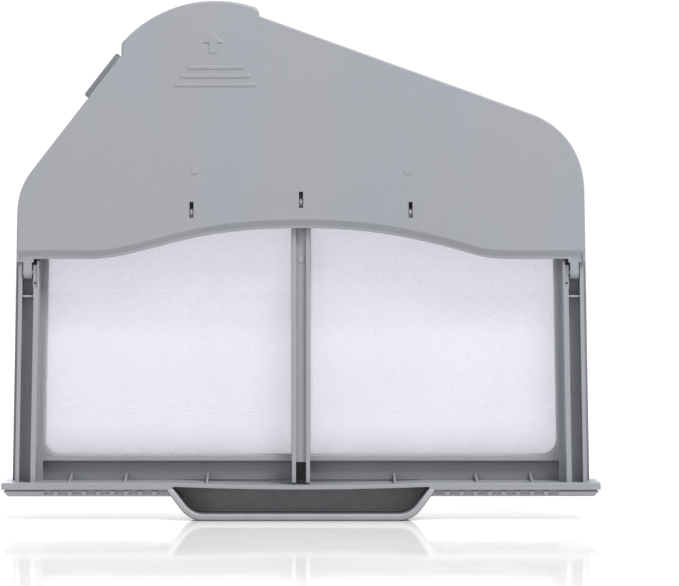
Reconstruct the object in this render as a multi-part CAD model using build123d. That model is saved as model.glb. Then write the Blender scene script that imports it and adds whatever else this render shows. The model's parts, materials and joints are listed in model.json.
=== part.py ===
from build123d import *
import os
from math import radians, sin, tan

# Lint filter of a clothes dryer, standing upright on its finger scoop.
# +X is the filter's right, -Y is its open front, +Z points at the end that goes into the dryer.
# The origin is the middle of the scoop's base. All sizes are in millimetres.

# ---------------------------------------------------------------- front bar
bar_width = 378.0            # flange that closes the slot in the dryer, end to end
bar_depth = 34.0             # flange, front to back
flange_low = 19.5            # underside of the flange above the scoop's base
flange_thick = 4.3
panel_low = 15.2             # underside of the front panel above the scoop's base
panel_wall = 1.8
panel_in = 1.2               # each end of the panel stops this far inside the flange
panel_end_slope = 2.6        # how far each end of the panel leans in
panel_side_slope = 2.6       # how far each long side of the panel leans in
panel_neck = 1.0             # shadow gap under the flange
panel_neck_in = 1.6
vent_rows = 4
vents_per_side = 9
vent_pitch = 8.9
vent_long = 6.2
vent_short = 2.4
vent_first = 88.0            # from the middle to the first vent
vent_first_row = 1.5         # from the front of the flange to the first row of vents
vent_row_gap = 3.9
vent_roof = 0.6              # material left above each vent

# ---------------------------------------------------------------- finger scoop
scoop_base_half = 70.7       # half width of the base before its corners are rounded
scoop_lean = 36.7            # degrees that its ends lean outwards
scoop_round = 18.0
scoop_rim = 4.0
scoop_depth = 26.0           # front to back
scoop_back_wall = 2.6
scoop_edge_round = 1.1
scoop_fit = 0.25             # gap between the scoop and the panel's cut-out
mouth_half = 80.0            # half width of the bowed strip over the scoop's mouth
bow_drop = 1.7               # how far that strip sags at the middle
bow_thick = 2.4

# ---------------------------------------------------------------- frame outline
base_half = 181.85           # half width of the frame where it meets the flange
side_taper = 0.0174          # each side leans in by this much per millimetre of height
left_corner_z = 209.6        # where the left side turns into the left slope
left_corner_round = 42.0
right_corner_z = 245.1
right_corner_round = 50.0
peak_left = (-113.4, 293.6)  # left end of the top edge
peak_right = (-26.3, 318.5)  # right end of the top edge
peak_round = 4.0

# ---------------------------------------------------------------- depths, front to back
cover_front = -16.5          # front face of the cover
cover_thick = 2.6
cover_lip_step = 2.3         # the cover's lower lip lies this much further back
lip_thick = 1.4
rail_front = -12.6           # front edge of the rails and of the rim wall
channel_floor = -2.5         # front face of the side channels' floors
ledge_front = 3.0            # front face of the ledge round the lower windows
rear_front = 8.0             # joint plane between the body frame and the rear frame
rear_thick = 3.0

# ---------------------------------------------------------------- body frame, widths from the outline inwards
rim_inset = 1.0
rim_wall = 2.4
rim_tuck = 1.8               # the rim stands this far in where the cover's skirt goes round it
rim_step_z = 161.0           # height of the step between the two
channel_width = 7.2
inner_rail = 3.2
ledge_width = 3.0
ledge_wall = 2.0
floor_thick = 2.2
side_end_z = 188.0           # the side channels stop here, behind the cover
sill_low = 36.3              # underside of the sill, above the trough
sill_wall = 1.2
ring_show = 1.0              # width of each ring that the ledge leaves in view
post_half = 5.7
post_rail = 2.5
post_front = -10.0
post_floor = -7.4
gusset_places = (59.5, 111.5, 146.5)
gusset_high = 4.4
gusset_thick = 1.2
gusset_root = 1.5
gusset_front = -15.0
stop_rib_z = 141.0
stop_rib_thick = 1.2
stop_rib_set = 1.5           # front of the stop rib behind the front of the rails
bridge_low = 190.0           # bridge between the lower and the upper windows
bridge_high = 204.0
bridge_front = 4.0
bridge_rib = 1.5
bridge_rib_deep = 6.0

mark_radius = 2.2            # flat round marks left by the mould's ejector pins
mark_high = 0.3
channel_marks = (82.5, 124.4)
post_mark_z = 164.7

# ---------------------------------------------------------------- windows and screens
window_low = 40.5
window_mid_low = 188.0       # top of the lower windows
window_mid_high = 206.0      # bottom of the upper windows
window_inset = 17.8          # from the outline to the windows
window_post = 6.2            # from the middle to the windows
window_round = 9.0
ring_width = 3.0
ring_thick = 0.8
screen_thick = 0.4
screen_grip = 2.6            # how far a screen runs under its ring
recess_fit = 0.1
rear_out_sides = 2.8         # the rear frame stands out past the cover by this much at the sides
rear_out_slopes = 1.4        # and by this much along the slopes

# ---------------------------------------------------------------- cover
cover_skirt = 1.4
skirt_deep = 9.0
cover_edge_z = 165.1         # lower edge of the cover at its sides
wave_half = 134.0            # the lower edge starts to rise this far from the middle
wave_rise = 19.5             # and is this much higher at the middle
wave_shape = ((0.795, 0.19), (0.513, 0.672), (0.25, 0.933))   # shares of the half width and the rise
lip_slope_at = 1.2           # height of the flat lip along the lower edge
lip_slope_wide = 4.2
lip_top = 192.0              # upper edge of the doubled strip behind the wavy edge
edge_round = 1.0
thumb_centre = (-54.1, 249.5)   # centre of the thumb lip's arc
thumb_radius = 78.7
thumb_corner = 5.0
thumb_round = 1.8            # rounding of the thumb lip's front edge
slot_wide = 2.5
slot_high = 10.1
slots = ((-69.1, 196.0), (0.0, 202.4), (69.1, 196.0))   # middle of each slot
cover_marks = ((-67.0, 220.6), (67.0, 220.6))
arrow_place = (-55.6, 301.5)    # middle of the raised arrow
arrow_half = 6.5             # half its height, and half its width
arrow_stem = 2.4             # half the width of its stem
grip_place = (-54.0, 280.5)     # middle of the raised grip bars
grip_bars = 3
grip_long = 52.0
grip_shorter = 8.0           # each bar is this much shorter than the one below
grip_pitch = 5.5
grip_wide = 2.2
relief = 0.4                 # how far the arrow and the bars stand out

# ---------------------------------------------------------------- catches
catch_thick = 1.7
catch_half = 2.3
catch_below = 1.7            # catch middle below the slot's middle
catch_tip = -16.1
catch_bevel = 1.5
catch_root_half = 6.0
catch_shank = -6.0

# ---------------------------------------------------------------- hinge
hinge_y = -9.0
hinge_z = 156.9
knuckle_radius = 4.4
arm_width = 5.3
arm_gap = 0.7                # between an arm and the outer rail
strip_past_arm = 1.3         # the end strips reach this far inside the arms
strip_low = 163.0            # bottom of the cover's end strips
pin_radius = 1.6
pin_running = 0.05           # radial clearance in the cover's arms
pin_snug = 0.02              # radial clearance in the frame's cheeks
pin_head_radius = 2.2
pin_head_thick = 1.0
pin_head_fit = 0.05
pin_blind = 0.7              # material left outside each pin
cheek_gap = 0.6              # between an arm and the inner cheek
cheek_thick = 3.7
cheek_edge = 0.9             # thin wall along the inner side of each cheek
cheek_low = 147.0
cheek_high = 161.3
cheek_edge_high = 164.0
cheek_front = -11.6
cheek_back = -3.0
detent_radius = 0.9
detent_z = 149.8
detent_deep = 1.5

# ---------------------------------------------------------------- holding tab
tab_along = 0.84             # place of the tab along the left slope
tab_long = 34.0
tab_out = 5.9
tab_round = 1.5

# Values that follow from the ones above.
flange_top = flange_low + flange_thick
bar_half = bar_width / 2
y_front = -bar_depth / 2
y_back = bar_depth / 2
rear_back = rear_front + rear_thick
cover_back = cover_front + cover_thick
lip_front = cover_front + cover_lip_step
lip_back = lip_front + lip_thick
channel_in = rim_inset + rim_wall
rail_in = channel_in + channel_width
ledge_in = rail_in + inner_rail
body_in = ledge_in + ledge_width
pocket_back = y_front + scoop_depth


def outline(corners):
    """Closed face through corners of (x, z, radius). A radius of 0 is a sharp corner."""
    count = len(corners)
    edges = []
    ends = []
    for i in range(count):
        x, z, radius = corners[i]
        point = Vector(x, z)
        before = (Vector(*corners[i - 1][:2]) - point).normalized()
        after = (Vector(*corners[(i + 1) % count][:2]) - point).normalized()
        if radius == 0:
            ends.append((point, point))
            continue
        half_angle = radians(before.get_angle(after)) / 2
        reach = radius / tan(half_angle)
        start = point + before * reach
        end = point + after * reach
        middle = point + (before + after).normalized() * (radius / sin(half_angle) - radius)
        edges.append(ThreePointArc(start, middle, end))
        ends.append((start, end))
    for i in range(count):
        start = ends[i][1]
        end = ends[(i + 1) % count][0]
        if (end - start).length > 0.001:
            edges.append(Line(start, end))
    return make_face(edges)


def shrink(corners, insets):
    """Move the sides of a clockwise outline inwards. Side i runs from corner i to the next."""
    count = len(corners)
    points = [Vector(x, z) for x, z, radius in corners]
    sides = []
    for i in range(count):
        along = (points[(i + 1) % count] - points[i]).normalized()
        inwards = Vector(along.Y, -along.X)
        sides.append((points[i] + inwards * insets[i], along))
    result = []
    for i in range(count):
        (p, u), (q, v) = sides[i - 1], sides[i]
        run = ((q.X - p.X) * v.Y - (q.Y - p.Y) * v.X) / (u.X * v.Y - u.Y * v.X)
        corner = p + u * run
        radius = corners[i][2]
        if radius > 0:
            radius = max(radius - insets[i], 0.5)
        result.append((corner.X, corner.Y, radius))
    return result


def prism(face, front, back):
    """Solid with the given front-view face, from y = front to y = back."""
    return extrude(Plane.XZ.offset(-back) * face, amount=back - front)


def across(face, low, high):
    """Solid with the given side-view face, drawn in y and z, from x = low to x = high."""
    return extrude(Plane.YZ.offset(low) * face, amount=high - low)


def block(x0, x1, y0, y1, z0, z1):
    """Box between two corners."""
    size = Box(x1 - x0, y1 - y0, z1 - z0)
    return Pos((x0 + x1) / 2, (y0 + y1) / 2, (z0 + z1) / 2) * size


def rod(radius, x0, x1, y=0.0, z=0.0):
    """Cylinder along X."""
    return Pos((x0 + x1) / 2, y, z) * Rot(0, 90, 0) * Cylinder(radius, abs(x1 - x0))


def disc(radius, x, z, front, back):
    """Cylinder along Y."""
    return Pos(x, (front + back) / 2, z) * Rot(90, 0, 0) * Cylinder(radius, back - front)


def ejector_mark(x, z, front):
    """Low round boss on a face at y = front."""
    return disc(mark_radius, x, z, front - mark_high, front + 0.5)


def both(solid):
    """The solid and its mirror image on the other side of the filter."""
    return solid + mirror(solid, about=Plane.YZ)


def side_x(z, inset):
    """Distance from the middle to a line that runs along the side, inset from the outline."""
    return base_half - side_taper * (z - flange_top) - inset


arm_outer = side_x(hinge_z, channel_in) - arm_gap
arm_inner = arm_outer - arm_width


def side_band(inset_out, inset_in, low, high, front, back):
    """A pair of bars along the two sides, between two insets."""
    face = outline([
        (side_x(low, inset_in), low, 0),
        (side_x(high, inset_in), high, 0),
        (side_x(high, inset_out), high, 0),
        (side_x(low, inset_out), low, 0),
    ])
    return both(prism(face, front, back))


def frame_corners(low):
    """Outline of the whole frame, clockwise from its lower left corner."""
    return [
        (-side_x(low, 0), low, 0),
        (-side_x(left_corner_z, 0), left_corner_z, left_corner_round),
        (peak_left[0], peak_left[1], peak_round),
        (peak_right[0], peak_right[1], peak_round),
        (side_x(right_corner_z, 0), right_corner_z, right_corner_round),
        (side_x(low, 0), low, 0),
    ]


def frame_face(low, inset):
    """Face of the frame's outline, with every side but the bottom one moved in."""
    return outline(shrink(frame_corners(low), [inset] * 5 + [0]))


def lower_window(side, margin):
    """Face of a window under the cover's edge, with its sides moved out by margin."""
    corners = [
        (window_post, window_low, 0),
        (window_post, window_mid_low, 0),
        (side_x(window_mid_low, window_inset), window_mid_low, window_round),
        (side_x(window_low, window_inset), window_low, window_round),
    ]
    face = outline(shrink(corners, [-margin] * 4))
    return face if side > 0 else mirror(face, about=Plane.YZ)


def upper_window(side, margin):
    """Face of a window behind the cover. It follows the frame's outline."""
    low = window_mid_high - margin
    near = window_post - margin
    half = Rectangle(bar_width, bar_width, align=(Align.MIN, Align.MIN))
    half = Pos(near, low) * half
    if side < 0:
        half = mirror(half, about=Plane.YZ)
    return frame_face(flange_top, window_inset - margin) & half


windows = {
    "lower_left": (lower_window, -1),
    "lower_right": (lower_window, 1),
    "upper_left": (upper_window, -1),
    "upper_right": (upper_window, 1),
}


# ================================================================ flange of the body frame

def flange():
    """Plate that closes the dryer's slot, with a thinner, sagging strip over the scoop's mouth."""
    strip_low_z = flange_top - bow_thick
    foot = mouth_half + scoop_rim
    sag = make_face([
        Line((-foot, flange_low), (-mouth_half, strip_low_z)),
        ThreePointArc((-mouth_half, strip_low_z), (0, strip_low_z - bow_drop), (mouth_half, strip_low_z)),
        Line((mouth_half, strip_low_z), (foot, flange_low)),
        Line((foot, flange_low), (foot, flange_top)),
        Line((foot, flange_top), (mouth_half, flange_top)),
        ThreePointArc((mouth_half, flange_top), (0, flange_top - bow_drop), (-mouth_half, flange_top)),
        Line((-mouth_half, flange_top), (-foot, flange_top)),
        Line((-foot, flange_top), (-foot, flange_low)),
    ])
    plate = block(-bar_half, bar_half, y_front, y_back, flange_low, flange_top)
    plate -= block(-foot, foot, y_front - 1, pocket_back, flange_low - 1, flange_top + 1)
    return plate + prism(sag, y_front, pocket_back)


# ================================================================ body frame

def side_rails():
    """Outer rail, channel floor, inner rail and stepped ledge along both sides."""
    parts = side_band(channel_in - 0.5, rail_in + 0.5, flange_top, side_end_z,
                      channel_floor, channel_floor + floor_thick)
    parts += side_band(rail_in, ledge_in, flange_top, cheek_low, rail_front, rear_front)
    parts += side_band(rail_in, ledge_in, cheek_low - 1, side_end_z, cheek_back - 1, rear_front)
    parts += side_band(ledge_in - 0.5, body_in, flange_top, side_end_z, ledge_front, ledge_front + floor_thick)
    parts += side_band(body_in - ledge_wall, body_in, flange_top, side_end_z, ledge_front, rear_front)
    parts += side_band(rail_in, body_in, side_end_z - sill_wall, side_end_z, ledge_front, rear_front)
    parts += side_band(channel_in - 0.5, rail_in + 0.5, stop_rib_z, stop_rib_z + stop_rib_thick,
                       rail_front + stop_rib_set, channel_floor + 0.5)
    for z in channel_marks:
        x = side_x(z, channel_in + channel_width / 2)
        parts += both(ejector_mark(x, z, channel_floor))
    return parts


def rim():
    """Wall round the whole frame. It is stepped in above the hinges, where the cover's skirt goes round it."""
    wall = prism(frame_face(flange_top, rim_tuck), rail_front, rear_front)
    wall -= prism(frame_face(flange_top - 1, channel_in), rail_front - 1, rear_front + 1)
    return wall + side_band(rim_inset, channel_in, flange_top, rim_step_z, rail_front, rear_front)


def inner_cheeks():
    """Ends of the inner rails, which hold the hinge pins. Each has a thin wall along its inner side."""
    x_out = arm_inner - cheek_gap
    x_in = x_out - cheek_thick
    cheek = block(x_in, x_out, cheek_front, cheek_back, cheek_low, cheek_high)
    cheek += block(x_in, x_out, cheek_back - 0.5, ledge_front + floor_thick, cheek_low, cheek_high)
    cheek += block(x_in, x_in + cheek_edge, rail_front, cheek_back, cheek_low - 1, cheek_edge_high)
    middle = (x_in + cheek_edge + x_out) / 2
    detent = disc(detent_radius, middle, detent_z, cheek_front - 0.5, cheek_front + detent_deep)
    return both(cheek - detent)


def centre_post():
    """Post between the windows: two rails, and a floor between them above the trough."""
    x_in = post_half - post_rail
    rail = block(x_in, post_half, post_front, rear_front, flange_top - 0.5, bridge_low + 0.5)
    floor = block(-x_in - 0.5, x_in + 0.5, post_floor, post_floor + floor_thick, sill_low, bridge_low + 0.5)
    return both(rail) + floor + ejector_mark(0, post_mark_z, post_floor)


def sill():
    """Ledge under the lower windows. It follows their rounded corners."""
    reach = side_x(sill_low, ledge_in) + 0.5
    top = window_low + window_round
    edge = window_low - ring_show
    parts = block(-reach, reach, ledge_front, ledge_front + floor_thick, sill_low, top)
    parts += block(-reach, reach, ledge_front, rear_front, edge - sill_wall, top)
    for side in (-1, 1):
        parts -= prism(lower_window(side, ring_show), ledge_front - 1, rear_front + 1)
    return parts


def gussets():
    """Small triangles that brace the flange."""
    parts = Part()
    gusset = make_face(Polyline(
        (gusset_front, flange_top - gusset_root),
        (gusset_front, flange_top),
        (rear_front, flange_top + gusset_high),
        (rear_front, flange_top - gusset_root),
        close=True,
    ))
    for x in gusset_places:
        parts += both(across(gusset, x - gusset_thick / 2, x + gusset_thick / 2))
    return parts


def bridge():
    """Cross member behind the cover, with the three catches that enter the cover's slots."""
    reach = side_x(bridge_high, channel_in) + 0.5
    parts = block(-reach, reach, bridge_front, rear_front, bridge_low, bridge_high)
    for low in (bridge_low, bridge_high - bridge_rib):
        parts += block(-reach, reach, bridge_front - bridge_rib_deep, bridge_front + 0.5, low, low + bridge_rib)
    for x, slot_z in slots:
        z = slot_z - catch_below
        blade = make_face(Polyline(
            (bridge_front + 0.5, z - catch_root_half),
            (catch_shank, z - catch_half),
            (catch_tip + catch_bevel, z - catch_half),
            (catch_tip, z),
            (catch_tip + catch_bevel, z + catch_half),
            (catch_shank, z + catch_half),
            (bridge_front + 0.5, z + catch_root_half),
            close=True,
        ))
        parts += across(blade, x - catch_thick / 2, x + catch_thick / 2)
    return parts


def pin_span():
    """Where a hinge pin starts and ends, from the middle outwards."""
    start = arm_inner - cheek_gap - cheek_thick
    end = side_x(hinge_z, rim_inset) - pin_blind
    return start, end


def body_frame():
    body = rim() + flange() + side_rails() + inner_cheeks()
    body += centre_post() + sill() + gussets() + bridge()
    start, end = pin_span()
    body -= both(rod(pin_radius + pin_snug, start - 1, end, hinge_y, hinge_z))
    body -= both(rod(pin_head_radius + pin_head_fit, start - 1, start + pin_head_thick, hinge_y, hinge_z))
    return body


# ================================================================ rear frame

def rear_frame():
    corners = frame_corners(flange_top)
    slopes = [-rear_out_slopes] * 3
    insets = [-rear_out_sides, *slopes, -rear_out_sides, 0]
    frame = prism(outline(shrink(corners, insets)), rear_front, rear_back)
    low = Vector(*corners[1][:2])
    high = Vector(*corners[2][:2])
    slope = (high - low).normalized()
    outwards = Vector(-slope.Y, slope.X)
    middle = low + (high - low) * tab_along
    start = middle - slope * (tab_long / 2)
    end = middle + slope * (tab_long / 2)
    points = [(start, -1, 0), (start, 1, tab_round), (end, 1, tab_round), (end, -1, 0)]
    places = [(point + outwards * (way * tab_out), radius) for point, way, radius in points]
    tab = outline([(place.X, place.Y, radius) for place, radius in places])
    frame += prism(tab, rear_front, rear_back)
    recess_back = rear_front + ring_thick + screen_thick
    for window, side in windows.values():
        frame -= prism(window(side, 0), rear_front - 1, rear_back + 1)
        frame -= prism(window(side, ring_width + recess_fit), rear_front - 1, recess_back)
    return frame


# ================================================================ screens and their rings

def screen(window, side):
    front = rear_front + ring_thick
    return prism(window(side, screen_grip), front, front + screen_thick)


def ring(window, side):
    outer = prism(window(side, ring_width), rear_front, rear_front + ring_thick)
    return outer - prism(window(side, 0), rear_front - 1, rear_front + 1)


# ================================================================ cover

def below_wave(rise):
    """Face of everything under the cover's wavy lower edge, moved up by rise."""
    z = cover_edge_z + rise
    far = bar_half + 20
    right = [(wave_half * along, z + wave_rise * up) for along, up in ((1, 0), *wave_shape)]
    left = [(-x, height) for x, height in right]
    wave = Spline(*left, (0, z + wave_rise), *reversed(right), tangents=((1, 0), (1, 0)))
    return make_face([
        Line((-far, z), (-wave_half, z)),
        wave,
        Line((wave_half, z), (far, z)),
        Line((far, z), (far, 0)),
        Line((far, 0), (-far, 0)),
        Line((-far, 0), (-far, z)),
    ])


def thumb_lip():
    """Arched lip above the top edge, for opening the cover."""
    x, z = thumb_centre
    left, right = peak_left[0], peak_right[0]
    column = Rectangle(right - left, thumb_radius + 1, align=(Align.MIN, Align.MIN))
    face = Pos(x, z) * Circle(thumb_radius) & Pos(left, z) * column
    corners = [vertex for vertex in face.vertices() if vertex.Y > z + 1]
    plate = prism(fillet(corners, thumb_corner), cover_front, cover_back)
    rim = [
        edge for edge in plate.edges()
        if abs(edge.center().Y - cover_front) < 0.01 and edge.center().Z > z + 1
    ]
    return fillet(rim, thumb_round)


def cover_sheet(front, back):
    """Cover's outline as a plate that reaches below the wavy edge."""
    plate = prism(frame_face(strip_low, 0), front, back)
    rim = [
        edge for edge in plate.edges()
        if abs(edge.center().Y - front) < 0.01 and edge.center().Z > strip_low + 0.01
    ]
    return fillet(rim, edge_round)


def face_plate():
    """Front of the cover. Its lower edge slopes back to the lip."""
    at_front = Plane.XZ.offset(-cover_front) * below_wave(lip_slope_at + lip_slope_wide)
    at_back = Plane.XZ.offset(-cover_back) * below_wave(lip_slope_at)
    slope = loft([at_front.face(), at_back.face()], ruled=True)
    plate = cover_sheet(cover_front, cover_back) + thumb_lip() - slope
    return plate - prism(below_wave(lip_slope_at), cover_back, cover_back + 1)


def lower_lip():
    """Flat lip along the wavy edge, one step behind the front."""
    lip = cover_sheet(lip_front, lip_back) - prism(below_wave(0), lip_front - 1, lip_back + 1)
    return lip & block(-bar_width, bar_width, lip_front - 1, lip_back + 1, 0, lip_top)


def cover_relief():
    """Raised up-arrow and grip bars that show where to open the cover."""
    x, z = arrow_place
    top, bottom = z + arrow_half, z - arrow_half
    arrow = Polyline(
        (x - arrow_half, z),
        (x, top),
        (x + arrow_half, z),
        (x + arrow_stem, z),
        (x + arrow_stem, bottom),
        (x - arrow_stem, bottom),
        (x - arrow_stem, z),
        close=True,
    )
    marks = prism(make_face(arrow), cover_front - relief, cover_front + 0.5)
    x, z = grip_place
    for i in range(grip_bars):
        level = z + (i - (grip_bars - 1) / 2) * grip_pitch
        bar = Pos(x, level) * SlotOverall(grip_long - grip_shorter * i, grip_wide)
        marks += prism(bar, cover_front - relief, cover_front + 0.5)
    return marks


def hinge_arms():
    """End strips of the cover and the arms that hang from them into the channels."""
    outer = side_x(cover_edge_z, 0)
    strip_top = cover_edge_z + lip_slope_at
    strip = block(arm_inner - strip_past_arm, outer, lip_front, lip_back, strip_low, strip_top)
    low = hinge_z - knuckle_radius
    back = hinge_y + knuckle_radius
    profile = outline([
        (lip_front, low, knuckle_radius),
        (lip_front, strip_top, 0),
        (back, strip_top, 0),
        (back, low, knuckle_radius),
    ])
    arm = across(profile, arm_inner, arm_outer)
    bore = rod(pin_radius + pin_running, arm_inner - 1, arm_outer + 1, hinge_y, hinge_z)
    return both(strip + arm - bore)


def cover():
    skirt = prism(frame_face(strip_low, 0), cover_front + 1, cover_front + skirt_deep)
    skirt -= prism(frame_face(strip_low - 5, cover_skirt), cover_front, cover_front + skirt_deep + 1)
    shell = face_plate() + lower_lip() + skirt + hinge_arms() + cover_relief()
    for x, z in cover_marks:
        shell += ejector_mark(x, z, cover_front)
    for x, z in slots:
        shell -= block(x - slot_wide / 2, x + slot_wide / 2, cover_front - 1, lip_back + 1,
                       z - slot_high / 2, z + slot_high / 2)
    return shell


# ================================================================ hinge pins

def hinge_pin(side):
    start, end = pin_span()
    shaft = rod(pin_radius, side * start, side * end, hinge_y, hinge_z)
    head = rod(pin_head_radius, side * start, side * (start + pin_head_thick), hinge_y, hinge_z)
    return shaft + head


# ================================================================ front panel and scoop

def scoop_corners(top):
    lean = tan(radians(scoop_lean))
    return [
        (-scoop_base_half, 0, scoop_round),
        (-scoop_base_half - lean * top, top, 0),
        (scoop_base_half + lean * top, top, 0),
        (scoop_base_half, 0, scoop_round),
    ]


def finger_scoop():
    outer = scoop_corners(flange_top - bow_thick)
    inner = shrink(outer, [scoop_rim, -5, scoop_rim, scoop_rim])
    scoop = prism(outline(outer), y_front, pocket_back)
    pocket = prism(outline(inner), y_front - 5, pocket_back - scoop_back_wall)
    scoop -= pocket
    rim = [
        edge for edge in scoop.edges()
        if abs(edge.center().Y - y_front) < 0.01 and edge.center().Z < flange_low - 0.5
    ]
    return fillet(rim, scoop_edge_round) - flange()


def frustum(half_x, half_y, low, high, lean_x, lean_y):
    """Tapered block, wide at the top."""
    top = Pos(0, 0, high) * Rectangle(2 * half_x, 2 * half_y)
    bottom = Pos(0, 0, low) * Rectangle(2 * (half_x - lean_x), 2 * (half_y - lean_y))
    return loft([bottom.face(), top.face()], ruled=True)


def front_panel():
    neck_low = flange_low - panel_neck
    half_x = bar_half - panel_in
    outer = frustum(half_x, y_back, panel_low, neck_low, panel_end_slope, panel_side_slope)
    inner = frustum(half_x - panel_wall, y_back - panel_wall, panel_low + panel_wall, neck_low + 0.01,
                    panel_end_slope, panel_side_slope)
    neck_x, neck_y = half_x - panel_neck_in, y_back - panel_neck_in
    neck = block(-neck_x, neck_x, -neck_y, neck_y, neck_low - 1, flange_low)
    neck -= block(-neck_x + panel_wall, neck_x - panel_wall, -neck_y + panel_wall, neck_y - panel_wall,
                  panel_low, flange_low + 1)
    panel = outer - inner + neck
    for row in range(vent_rows):
        y = y_front + vent_first_row + row * vent_row_gap
        for i in range(vents_per_side):
            x = vent_first + i * vent_pitch
            vent = extrude(Pos(x, y, 0) * SlotOverall(vent_long, vent_short), amount=flange_low - vent_roof)
            panel -= both(vent)
    cut = shrink(scoop_corners(flange_low), [-scoop_fit] * 4)
    return panel - prism(outline(cut), y_front - 5, pocket_back + scoop_fit)


def main():
    nodes = {
        "body_frame": body_frame(),
        "rear_frame": rear_frame(),
        "cover": cover(),
        "front_panel": front_panel(),
        "finger_scoop": finger_scoop(),
        "left_hinge_pin": hinge_pin(-1),
        "right_hinge_pin": hinge_pin(1),
    }
    for name, (window, side) in windows.items():
        nodes[name + "_screen"] = screen(window, side)
        nodes[name + "_ring"] = ring(window, side)
    os.makedirs("parts", exist_ok=True)
    for name, shape in nodes.items():
        shape.label = name
        export_step(shape, f"parts/{name}.step")
        print(name, len(shape.solids()), "solids", round(shape.volume), "mm3")


main()
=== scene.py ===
# %% [markdown]
# # A dryer's lint filter
#
# The filter is a shallow tray of moulded grey plastic. Air passes through white woven screens in its
# rear frame, and a hinged cover closes the far end, where the lint gathers. The CAD model already holds
# every size and fit, so this lesson adds what CAD leaves out: the weave of the screens, the surface of
# moulded plastic and steel, and the light of a small studio.

# %% Load the frame
import bpy
import bmesh
import json
import math
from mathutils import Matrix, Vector
from mathutils.geometry import convex_hull_2d


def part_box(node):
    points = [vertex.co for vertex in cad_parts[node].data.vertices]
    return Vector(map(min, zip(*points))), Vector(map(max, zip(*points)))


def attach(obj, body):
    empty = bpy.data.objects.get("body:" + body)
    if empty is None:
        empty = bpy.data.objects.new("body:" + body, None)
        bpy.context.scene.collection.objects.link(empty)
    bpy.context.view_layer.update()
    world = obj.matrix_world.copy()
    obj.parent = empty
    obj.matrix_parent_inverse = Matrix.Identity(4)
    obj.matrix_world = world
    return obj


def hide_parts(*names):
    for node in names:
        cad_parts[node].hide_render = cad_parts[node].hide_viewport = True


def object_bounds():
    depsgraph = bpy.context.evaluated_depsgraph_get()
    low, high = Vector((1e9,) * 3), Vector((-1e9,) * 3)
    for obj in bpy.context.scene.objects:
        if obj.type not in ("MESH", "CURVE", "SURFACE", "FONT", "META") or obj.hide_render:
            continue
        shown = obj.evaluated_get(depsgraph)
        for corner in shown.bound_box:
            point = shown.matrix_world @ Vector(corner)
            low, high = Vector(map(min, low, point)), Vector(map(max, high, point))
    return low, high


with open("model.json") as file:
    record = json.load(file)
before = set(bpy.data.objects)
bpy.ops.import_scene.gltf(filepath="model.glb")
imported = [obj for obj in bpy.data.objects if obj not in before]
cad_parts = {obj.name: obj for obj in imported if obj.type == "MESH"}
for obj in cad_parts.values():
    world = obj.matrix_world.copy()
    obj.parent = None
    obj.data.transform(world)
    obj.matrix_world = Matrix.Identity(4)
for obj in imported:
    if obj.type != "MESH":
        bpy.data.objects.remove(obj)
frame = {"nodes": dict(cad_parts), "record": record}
cad_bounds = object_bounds()
MM = 0.001
low, high = cad_bounds
print("size of the filter in mm:", [round((b - a) / MM, 1) for a, b in zip(low, high)])

# %% [markdown]
# ## Camera
#
# A long lens from about a metre and a half keeps the tray's side walls almost edge on, the way a product
# picture does. The camera looks straight along +Y at a point above the middle of the screens. The lens
# follows from one fact: the front bar fills a known share of the picture's width. A small shift of the
# film then places the filter in the picture without turning the camera, so upright lines stay upright.

# %% Camera
BAR_SHARE = 0.883            # the bar's length as a share of the picture's width
CAMERA_DISTANCE = 1.6        # from the front of the bar, in metres
EYE_HEIGHT = 0.1632          # the middle of the screens and the cover, in metres
FILM_WIDTH = 36.0
FILM_SHIFT = (0.0567, -0.0457)

bar_low, bar_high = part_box("body_frame")
bar_length = bar_high[0] - bar_low[0]
camera_data = bpy.data.cameras.new("studio_camera")
camera_data.sensor_width = FILM_WIDTH
camera_data.lens = FILM_WIDTH * CAMERA_DISTANCE * BAR_SHARE / bar_length
camera_data.shift_x, camera_data.shift_y = FILM_SHIFT
camera = bpy.data.objects.new("studio_camera", camera_data)
camera.location = (0.0, bar_low[1] - CAMERA_DISTANCE, EYE_HEIGHT)
camera.rotation_euler = (math.radians(90), 0, 0)
bpy.context.collection.objects.link(camera)
bpy.context.scene.camera = camera
print("lens in mm:", round(camera_data.lens, 1))

# %% [markdown]
# ## Helpers for materials
#
# Every finish here is a node tree, so a few helpers keep the cells short. `add` makes a node, and `link`
# joins two sockets. `noise` reads the object's own coordinates, which are metres, so a noise scale of
# 1000 makes grains of about a millimetre.

# %% Node helpers
def new_material(name):
    """An empty material with one Principled shader."""
    material = bpy.data.materials.new(name)
    material.use_nodes = True
    tree = material.node_tree
    tree.nodes.clear()
    output = tree.nodes.new("ShaderNodeOutputMaterial")
    shader = tree.nodes.new("ShaderNodeBsdfPrincipled")
    tree.links.new(shader.outputs["BSDF"], output.inputs["Surface"])
    return material, tree, shader


def add(tree, kind, **settings):
    """Make a node and set its properties."""
    node = tree.nodes.new("ShaderNode" + kind)
    for name, value in settings.items():
        setattr(node, name, value)
    return node


def link(tree, source, target):
    tree.links.new(source, target)


def coordinates(tree, stretch=(1, 1, 1)):
    """The object's own coordinates in metres, stretched along each axis."""
    place = add(tree, "TexCoord")
    mapping = add(tree, "Mapping")
    mapping.inputs["Scale"].default_value = stretch
    link(tree, place.outputs["Object"], mapping.inputs["Vector"])
    return mapping.outputs["Vector"]


def noise(tree, scale, detail=2.0, roughness=0.5, stretch=(1, 1, 1)):
    node = add(tree, "TexNoise")
    node.inputs["Scale"].default_value = scale
    node.inputs["Detail"].default_value = detail
    node.inputs["Roughness"].default_value = roughness
    link(tree, coordinates(tree, stretch), node.inputs["Vector"])
    return node.outputs["Fac"]


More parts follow.
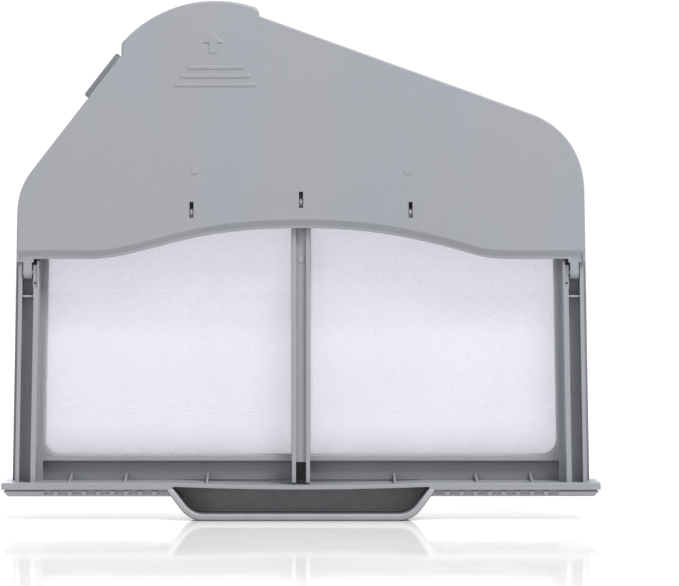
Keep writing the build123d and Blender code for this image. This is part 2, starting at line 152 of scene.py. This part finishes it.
def spread(tree, value, low_in, high_in, low_out, high_out):
    """Map a value from one range to another, without leaving the second one."""
    node = add(tree, "MapRange")
    for name, number in (("From Min", low_in), ("From Max", high_in),
                         ("To Min", low_out), ("To Max", high_out)):
        node.inputs[name].default_value = number
    link(tree, value, node.inputs["Value"])
    return node.outputs["Result"]


def mix_colours(tree, amount, first, second, blend="MIX"):
    node = add(tree, "Mix", data_type="RGBA", blend_type=blend)
    link(tree, amount, node.inputs["Factor"])
    for name, colour in (("A", first), ("B", second)):
        socket = [s for s in node.inputs if s.name == name and s.type == "RGBA"][0]
        if isinstance(colour, tuple):
            socket.default_value = (*colour, 1)
        else:
            link(tree, colour, socket)
    return [s for s in node.outputs if s.type == "RGBA"][0]


def bump(tree, height, strength, distance, normal=None):
    node = add(tree, "Bump")
    node.inputs["Strength"].default_value = strength
    node.inputs["Distance"].default_value = distance
    link(tree, height, node.inputs["Height"])
    if normal:
        link(tree, normal, node.inputs["Normal"])
    return node.outputs["Normal"]


print("helpers ready, one unit is a metre and MM is", MM)

# %% [markdown]
# ## Moulded plastic
#
# The tray and cover are injection moulded. The mould is spark eroded, which leaves a very fine even grain,
# and the plastic flows in from a gate, which leaves broad, faint clouds and streaks. Edges go paler, partly
# from wear where hands and the dryer's slot rub and partly as a painted highlight. Painting this by hand
# would need an image for every part, so the edges are found by the shader instead: the Bevel node gives
# the normal of a softly rounded edge, and where that differs from the true normal there is an edge. Deep
# corners get painted shade: an Ambient Occlusion node finds them, and the plastic is painted dimmer there.

# %% Pale edges and painted corner shade
EDGE_STARTS, EDGE_IS_FULL = 0.995, 0.80    # cosines between the true and the softened normal
OPEN_AIR, DEEP_CORNER = 0.85, 0.15         # shares of the surroundings that a surface sees


def edge_amount(tree, radius):
    """How near a surface is to an edge, from 0 to 1, and the softened normal."""
    rounded = add(tree, "Bevel", samples=6)
    rounded.inputs["Radius"].default_value = radius
    plain = add(tree, "NewGeometry")
    dot = add(tree, "VectorMath", operation="DOT_PRODUCT")
    link(tree, rounded.outputs["Normal"], dot.inputs[0])
    link(tree, plain.outputs["Normal"], dot.inputs[1])
    amount = spread(tree, dot.outputs["Value"], EDGE_STARTS, EDGE_IS_FULL, 0.0, 1.0)
    return amount, rounded.outputs["Normal"]


def corner_amount(tree, reach):
    """How deep in a corner a surface lies, from 0 to 1."""
    node = add(tree, "AmbientOcclusion", samples=8)
    node.inputs["Distance"].default_value = reach
    return spread(tree, node.outputs["AO"], OPEN_AIR, DEEP_CORNER, 0.0, 1.0)


print("wear and dust ready")

# %% [markdown]
# One function makes every plastic, so that the mouldings look like one family. It lays the tones over each
# other: clouds and speckle from the mould, then painted shade in the deep corners, then paler edges that
# are partly wear and partly painted highlight. The grain goes into the bump on two scales, a fine one for
# the spark-eroded skin and a broad one for the slight waves that a large flat moulding has.

# %% Moulded plastic
CORNER_REACH = 16 * MM       # how far the painted shade in a corner spreads
POCKET_REACH = 34 * MM       # the same in the finger scoop, which is one deep pocket
CORNER_SHADE_TONE = 0.35             # brightness of the painted corner shade, as a share of the plain plastic's
SPECKLE_TONE = 0.90
CLOUDS, WAVES = 9.0, 22      # noise scales of the broad marks
GLOSS_PATCHES, EDGE_PATCHES, CORNER_SHADE_BLOTCHES = 35, 60, 120
SPECKLE, GRAIN = 900, 2600   # noise scales of the fine marks
GRAIN_HEIGHT = 0.03 * MM
WAVE_HEIGHT = 1.2 * MM
PLASTIC_IOR = 1.49


def moulded_plastic(name, colour, cool, worn_and_highlight, gloss=0.44, flow=(1, 1, 1), edge=0.7, corner_shade=0.5,
                    reach=CORNER_REACH):
    """Satin moulded plastic. colour and cool are its two tones; the third is the tone of rubbed edges, with
    a painted highlight.
    """
    material, tree, shader = new_material(name)
    clouds = noise(tree, CLOUDS, detail=3, stretch=flow)
    tone = mix_colours(tree, spread(tree, clouds, 0.3, 0.7, 0, 1), colour, cool)
    speckle = noise(tree, SPECKLE, detail=2)
    dark = tuple(c * SPECKLE_TONE for c in colour)
    tone = mix_colours(tree, spread(tree, speckle, 0.45, 0.8, 0, 0.35), tone, dark)
    # painted shade: deep corners, found by the AO node, are painted darker in patches
    shaded = add(tree, "Math", operation="MULTIPLY")
    link(tree, corner_amount(tree, reach), shaded.inputs[0])
    shade_patches = spread(tree, noise(tree, CORNER_SHADE_BLOTCHES, detail=4), 0.3, 0.7, 0.8 * corner_shade, corner_shade)
    link(tree, shade_patches, shaded.inputs[1])
    tone = mix_colours(tree, shaded.outputs["Value"], tone, tuple(c * CORNER_SHADE_TONE for c in cool))
    # pale edges: partly wear and partly a painted highlight along every edge
    edges, soft_normal = edge_amount(tree, edge * MM)
    patches = spread(tree, noise(tree, EDGE_PATCHES, detail=4), 0.35, 0.65, 0.25, 0.85)
    rubbed_and_highlit = add(tree, "Math", operation="MULTIPLY")
    link(tree, edges, rubbed_and_highlit.inputs[0])
    link(tree, patches, rubbed_and_highlit.inputs[1])
    link(tree, mix_colours(tree, rubbed_and_highlit.outputs["Value"], tone, worn_and_highlight), shader.inputs["Base Color"])
    rough = noise(tree, GLOSS_PATCHES, detail=3, stretch=flow)
    link(tree, spread(tree, rough, 0.3, 0.7, gloss - 0.05, gloss + 0.06), shader.inputs["Roughness"])
    fine = bump(tree, noise(tree, GRAIN, detail=3, roughness=0.6), 0.35, GRAIN_HEIGHT, soft_normal)
    broad = bump(tree, noise(tree, WAVES, detail=1, stretch=flow), 0.12, WAVE_HEIGHT, fine)
    link(tree, broad, shader.inputs["Normal"])
    shader.inputs["IOR"].default_value = PLASTIC_IOR
    return material


print("plastic ready")

# %% [markdown]
# Five mouldings and the rings each get a plastic of their own. The cover and the body get little painted
# shade in their corners. The rear frame is a darker grey. The front panel and the scoop are the parts that
# hands touch, so their edges are paler, partly wear and partly painted highlight. The scoop's pocket is
# deep and gets the strongest painted shade, which makes it look almost black at the back.

# %% The plastics
plastics = {
    "cover": moulded_plastic("cover_plastic", (0.197, 0.197, 0.206), (0.176, 0.188, 0.214),
                             (0.262, 0.266, 0.28), flow=(1, 1, 0.35), edge=0.8, corner_shade=0.1),
    "body_frame": moulded_plastic("body_plastic", (0.203, 0.206, 0.220), (0.190, 0.197, 0.218),
                                  (0.305, 0.31, 0.326), flow=(1, 1, 0.3), edge=0.6, corner_shade=0.06),
    "rear_frame": moulded_plastic("rear_plastic", (0.150, 0.155, 0.171), (0.132, 0.138, 0.156),
                                  (0.22, 0.227, 0.246), gloss=0.5, flow=(0.5, 1, 1), corner_shade=0.3),
    "front_panel": moulded_plastic("panel_plastic", (0.240, 0.242, 0.250), (0.224, 0.229, 0.244),
                                   (0.33, 0.332, 0.342), flow=(0.3, 1, 1), edge=0.5, corner_shade=0.6),
    "finger_scoop": moulded_plastic("scoop_plastic", (0.275, 0.277, 0.284), (0.255, 0.259, 0.272),
                                    (0.36, 0.362, 0.37), flow=(0.3, 1, 1), edge=0.9, corner_shade=1.0,
                                    reach=POCKET_REACH),
}
ring_plastic = moulded_plastic("ring_plastic", (0.34, 0.344, 0.358), (0.315, 0.322, 0.342),
                               (0.45, 0.454, 0.468), gloss=0.4, edge=0.4, corner_shade=0.2)
print("plastics:", sorted(plastics))

# %% [markdown]
# ## Hinge pins
#
# Each pin is a short piece of drawn steel. Drawing leaves hair lines along the pin, so the noise is
# stretched along X, the pin's length, and drives both the roughness and a very low bump.

# %% Steel
def drawn_steel():
    material, tree, shader = new_material("pin_steel")
    lines = noise(tree, 3000, detail=3, stretch=(0.04, 1, 1))
    stain = noise(tree, 500, detail=3)
    colour = mix_colours(tree, spread(tree, stain, 0.35, 0.7, 0, 1), (0.60, 0.60, 0.61), (0.47, 0.46, 0.45))
    link(tree, colour, shader.inputs["Base Color"])
    link(tree, spread(tree, lines, 0.3, 0.7, 0.22, 0.42), shader.inputs["Roughness"])
    link(tree, bump(tree, lines, 0.25, 0.01 * MM), shader.inputs["Normal"])
    shader.inputs["Metallic"].default_value = 1.0
    return material


steel = drawn_steel()
print("steel:", steel.name)

# %% [markdown]
# ## Give the CAD parts their finishes
#
# The CAD parts keep their shapes. Each gets its own plastic in its material slot. No moulding has a knife
# edge, but a Bevel modifier on thin ribs and pins would leave slivers, so the small edges are softened by
# the Bevel node in the plastic. The edges that a hand would feel are rounded in the CAD model.

# %% Finishes on the CAD parts
def finish_node(name, material):
    slots = frame["nodes"][name].data.materials
    slots.clear()
    slots.append(material)


for name, material in plastics.items():
    finish_node(name, material)
for name in frame["nodes"]:
    if name.endswith("_ring"):
        finish_node(name, ring_plastic)
    elif name.endswith("_pin"):
        finish_node(name, steel)
print("finished nodes:", len(frame["nodes"]))

# %% [markdown]
# ## Woven screens
#
# A lint screen is a plain weave of polyester thread: each thread goes over one crossing thread and under
# the next, and the rows beside it do the opposite. The weave lies at 45 degrees to the frame, so that the
# screen stretches evenly into the corners. A flat sheet with a grid picture would look like paper from
# the side, so every thread here is a real strip that rises and falls. Each strip needs only two corners at
# each crossing, which keeps some hundred thousand crossings light. A thread is one line clipped by the
# outline of the screen that it replaces. The outline is convex, so its hull is enough.

# %% Screen outline
THREAD_PITCH = 0.74 * MM
THREAD_WIDTH = 0.37 * MM
THREAD_RISE = 0.07 * MM      # how far a thread goes over or under
THREAD_MARGIN = 0.9 * MM     # threads stop this far inside the screen's edge, under its ring
FEWEST_CROSSINGS = 2         # shorter threads in the corners are left out
DIAGONAL = math.sqrt(0.5)


def to_weave(x, z):
    """A place on the screen in the weave's own directions."""
    return Vector(((x + z) * DIAGONAL, (z - x) * DIAGONAL))


def from_weave(u, v):
    return (u - v) * DIAGONAL, (u + v) * DIAGONAL


def hull_of(node_name):
    """The screen's outline in the weave's directions, as points in order."""
    points = [to_weave(v.co.x, v.co.z) for v in frame["nodes"][node_name].data.vertices]
    return [points[i] for i in convex_hull_2d(points)]


def clip(hull, axis, level):
    """Where the thread at one level of u (axis 0) or v (axis 1) enters and leaves the outline."""
    other = 1 - axis
    hits = []
    for a, b in zip(hull, hull[1:] + hull[:1]):
        if (a[axis] - level) * (b[axis] - level) < 0:
            share = (level - a[axis]) / (b[axis] - a[axis])
            hits.append(a[other] + share * (b[other] - a[other]))
    return (min(hits), max(hits)) if len(hits) > 1 else None


print("threads in each centimetre:", round(0.01 / THREAD_PITCH, 1))

# %% [markdown]
# A thread could be a curve with a round bevel, but thousands of curves are slow to make and heavy to
# render. A flat strip is enough, because a thread is far thinner than anything that a viewer can make out,
# and its rise and fall gives the weave its sparkle. All strips of a screen go into one mesh, so that the
# screen stays one piece, as it is on the real filter.

# %% Weave one screen
def thread_corners(axis, row, first, last, middle_y):
    """Two corners of a thread at each of its crossings."""
    corners = []
    for step in range(first, last + 1):
        over = 1 if (row + step) % 2 == axis else -1
        for side in (-0.5, 0.5):
            place = [0.0, 0.0]
            place[axis] = row * THREAD_PITCH + side * THREAD_WIDTH
            place[1 - axis] = step * THREAD_PITCH
            x, z = from_weave(*place)
            corners.append((x, middle_y - over * THREAD_RISE, z))
    return corners


def woven_screen(node_name, material):
    """Threads in both directions, over and under each other, as one mesh."""
    hull = hull_of(node_name)
    screen_low, screen_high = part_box(node_name)
    middle_y = (screen_low[1] + screen_high[1]) / 2
    corners, faces = [], []
    threads = 0
    for axis in (0, 1):
        levels = [point[axis] / THREAD_PITCH for point in hull]
        for row in range(math.floor(min(levels)), math.ceil(max(levels)) + 1):
            ends = clip(hull, axis, row * THREAD_PITCH)
            if not ends:
                continue
            first = math.ceil((ends[0] + THREAD_MARGIN) / THREAD_PITCH)
            last = math.floor((ends[1] - THREAD_MARGIN) / THREAD_PITCH)
            if last - first < FEWEST_CROSSINGS:
                continue
            for a in range(len(corners), len(corners) + 2 * (last - first), 2):
                quad = (a, a + 1, a + 3, a + 2)
                faces.append(quad if axis == 0 else quad[::-1])
            corners += thread_corners(axis, row, first, last, middle_y)
            threads += 1
    data = bpy.data.meshes.new(node_name + "_weave")
    data.from_pydata(corners, [], faces)
    data.polygons.foreach_set("use_smooth", [True] * len(data.polygons))
    data.materials.append(material)
    weave = bpy.data.objects.new(node_name + "_weave", data)
    bpy.context.collection.objects.link(weave)
    return weave, threads


print("weaving is ready")

# %% [markdown]
# Polyester thread is white and a little glossy, and it passes more than half of the light that falls on
# its other side, which gives a screen its soft glow in front of a bright wall. A Translucent shader mixed
# with the Principled one does that for a strip that has no thickness. A fine noise along the threads keeps
# them from looking like wire. The threads are greyer along the lower edge of the lower screens, in patches,
# and this fades over the first centimetres above the sill.

# %% Thread material
LIGHT_THROUGH = 0.6          # share of a thread's light that comes from behind it
GREYING_LOW = 40.5 * MM         # lower edge of the lower screens
GREYING_HIGH = 63.0 * MM        # the greying ends here
GREYING_MOST = 0.7
FIBRES, GREYING_BLOTCHES, AGEING = 5000, 70, 14    # noise scales


def greyer_near_sill(tree):
    """How much greyer a thread is, from the lower edge upwards."""
    place = add(tree, "SeparateXYZ")
    link(tree, coordinates(tree), place.inputs["Vector"])
    fade = add(tree, "Math", operation="POWER")
    link(tree, spread(tree, place.outputs["Z"], GREYING_LOW, GREYING_HIGH, 1, 0), fade.inputs[0])
    fade.inputs[1].default_value = 2.0
    patchy = add(tree, "Math", operation="MULTIPLY")
    link(tree, fade.outputs["Value"], patchy.inputs[0])
    blotches = noise(tree, GREYING_BLOTCHES, detail=3)
    link(tree, spread(tree, blotches, 0.3, 0.7, 0.75 * GREYING_MOST, GREYING_MOST), patchy.inputs[1])
    return patchy.outputs["Value"]


def thread_material():
    material, tree, shader = new_material("screen_mesh")
    fibres = noise(tree, FIBRES, detail=2)
    age = noise(tree, AGEING, detail=3)
    aged = spread(tree, age, 0.35, 0.65, 0, 1)
    colour = mix_colours(tree, aged, (0.515, 0.515, 0.585), (0.49, 0.49, 0.565))
    colour = mix_colours(tree, spread(tree, fibres, 0.4, 0.8, 0, 0.3), colour, (0.44, 0.44, 0.51))
    # threads greyer towards the lower edge of the lower screens
    colour = mix_colours(tree, greyer_near_sill(tree), colour, (0.20, 0.20, 0.235))
    link(tree, colour, shader.inputs["Base Color"])
    link(tree, spread(tree, fibres, 0.3, 0.7, 0.42, 0.6), shader.inputs["Roughness"])
    link(tree, bump(tree, fibres, 0.3, 0.02 * MM), shader.inputs["Normal"])
    shader.inputs["Sheen Weight"].default_value = 0.15
    glow = add(tree, "BsdfTranslucent")
    link(tree, colour, glow.inputs["Color"])
    both = add(tree, "MixShader")
    both.inputs["Fac"].default_value = LIGHT_THROUGH
    link(tree, shader.outputs["BSDF"], both.inputs[1])
    link(tree, glow.outputs["BSDF"], both.inputs[2])
    link(tree, both.outputs["Shader"], tree.nodes["Material Output"].inputs["Surface"])
    return material


polyester = thread_material()
print("thread:", polyester.name)

# %% [markdown]
# Each weave takes the place of the plain sheet that the CAD model has there. It rides on the body that the
# sheet belongs to.

# %% Four screens
for name in sorted(frame["nodes"]):
    if not name.endswith("_screen"):
        continue
    weave, count = woven_screen(name, polyester)
    body = next(body for body, nodes in frame["record"]["behaviour"]["bodies"].items() if name in nodes)
    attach(weave, body)
    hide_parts(name)
    hull = hull_of(name)

# %% [markdown]
# ## Floor
#
# The filter stands on a plain pale surface. It is a large disc that fades into the white surroundings. Its
# even gloss gives the scoop and the bar a clear reflection at the low angle of the camera, next to a light
# shadow, which shows that the filter stands on the floor and doesn't hang above it.

# %% Floor
FLOOR_RADIUS = 12.0          # in metres, so that its edge is out of sight
FLOOR_GAP = 0.0002           # keeps the floor just clear of the scoop


def studio_floor():
    material, tree, shader = new_material("studio_floor")
    patches = noise(tree, 3, detail=2)
    colour = mix_colours(tree, patches, (0.74, 0.74, 0.745), (0.77, 0.77, 0.77))
    link(tree, colour, shader.inputs["Base Color"])
    link(tree, spread(tree, noise(tree, 40, detail=3), 0.3, 0.7, 0.05, 0.09), shader.inputs["Roughness"])
    shader.inputs["IOR"].default_value = 1.45
    mesh = bmesh.new()
    bmesh.ops.create_circle(mesh, cap_ends=True, radius=FLOOR_RADIUS, segments=96)
    data = bpy.data.meshes.new("floor")
    mesh.to_mesh(data)
    mesh.free()
    data.materials.append(material)
    floor = bpy.data.objects.new("floor", data)
    floor.location.z = low[2] - FLOOR_GAP
    bpy.context.collection.objects.link(floor)
    return floor


floor = studio_floor()
print("floor at height in mm:", round(floor.location.z / MM, 1))

# %% [markdown]
# ## Light
#
# Product pictures of grey plastic use a bright room and one large soft lamp. The world gives the even
# light of the room, and it makes the deep channels dark, because little of the room can be seen from their
# floors; a little painted shade in the plastic adds to that. The key lamp stands high on the right, so that
# edges facing it turn pale and slopes that face down turn dark. A weaker, bluer one on the left keeps the
# shadows open. A third lamp far behind the filter lights the screens through their threads, where the cover
# keeps the key lamp off them.

# %% Lights
def soft_lamp(name, place, aim, size, power, colour=(1, 1, 1)):
    data = bpy.data.lights.new(name, "AREA")
    data.shape = "RECTANGLE"
    data.size, data.size_y = size
    data.energy = power
    data.color = colour
    lamp = bpy.data.objects.new(name, data)
    lamp.location = place
    lamp.rotation_euler = (Vector(aim) - Vector(place)).to_track_quat("-Z", "Y").to_euler()
    bpy.context.collection.objects.link(lamp)
    return lamp


middle = [(a + b) / 2 for a, b in zip(low, high)]
soft_lamp("key_lamp", (0.95, -1.15, 2.0), middle, (0.8, 0.8), 70, (1.0, 0.99, 0.97))
soft_lamp("fill_lamp", (-1.2, -1.5, 0.7), middle, (1.2, 1.2), 8, (0.84, 0.91, 1.0))
soft_lamp("back_lamp", (-1.0, 3.8, 2.4), middle, (2.8, 2.8), 115, (0.98, 0.98, 1.0))
world = bpy.data.worlds.new("white_room")
world.use_nodes = True
room = world.node_tree.nodes["Background"]
room.inputs["Color"].default_value = (0.99, 0.992, 1.0, 1)
room.inputs["Strength"].default_value = 1.06
bpy.context.scene.world = world
bpy.context.scene.view_settings.view_transform = "Standard"
